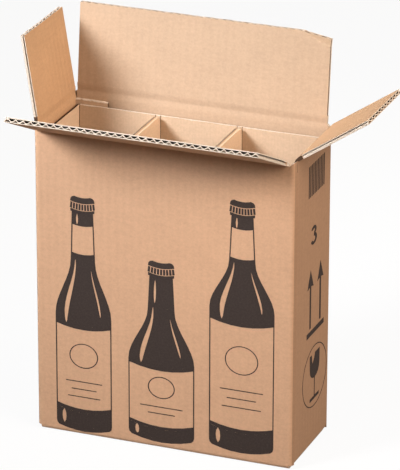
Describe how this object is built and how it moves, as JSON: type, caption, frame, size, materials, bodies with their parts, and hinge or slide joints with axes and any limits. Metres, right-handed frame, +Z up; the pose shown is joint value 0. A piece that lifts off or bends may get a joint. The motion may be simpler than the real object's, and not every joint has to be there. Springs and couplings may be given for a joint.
{
  "type": "bottle shipping box",
  "caption": "Tall narrow corrugated shipping carton with hinged top flaps standing open and a pleated card insert that divides the inside into bottle cells.",
  "frame": {"origin": "on the table under the middle of the box's outside", "axes": "+Z up along the bottles, -Y to the front wall, +X along the width to the right wall"},
  "size_m": [0.3491, 0.1875, 0.4067],
  "materials": {
    "kraft_board": "matt uncoated kraft paper",
    "insert_card": "matt uncoated kraft paper"
  },
  "bodies": {
    "carton": {"carton": "kraft_board", "bottle_insert": "insert_card"},
    "front_flap": {"front_flap": "kraft_board"},
    "back_flap": {"back_flap": "kraft_board"},
    "left_flap": {"left_flap": "kraft_board"},
    "right_flap": {"right_flap": "kraft_board"}
  },
  "joints": [
    {"name": "front_fold", "type": "hinge", "parent": "carton", "child": "front_flap", "pos_m": [0, -0.0492, 0.311], "axis": [-1, 0, 0], "range_deg": [-73, 155]},
    {"name": "back_fold", "type": "hinge", "parent": "carton", "child": "back_flap", "pos_m": [0, 0.0492, 0.3198], "axis": [1, 0, 0], "range_deg": [-132, 96]},
    {"name": "left_fold", "type": "hinge", "parent": "carton", "child": "left_flap", "pos_m": [-0.1322, 0, 0.3154], "axis": [0, 1, 0], "range_deg": [-129, 99]},
    {"name": "right_fold", "type": "hinge", "parent": "carton", "child": "right_flap", "pos_m": [0.1322, 0, 0.3154], "axis": [0, -1, 0], "range_deg": [-82, 146]}
  ]
}
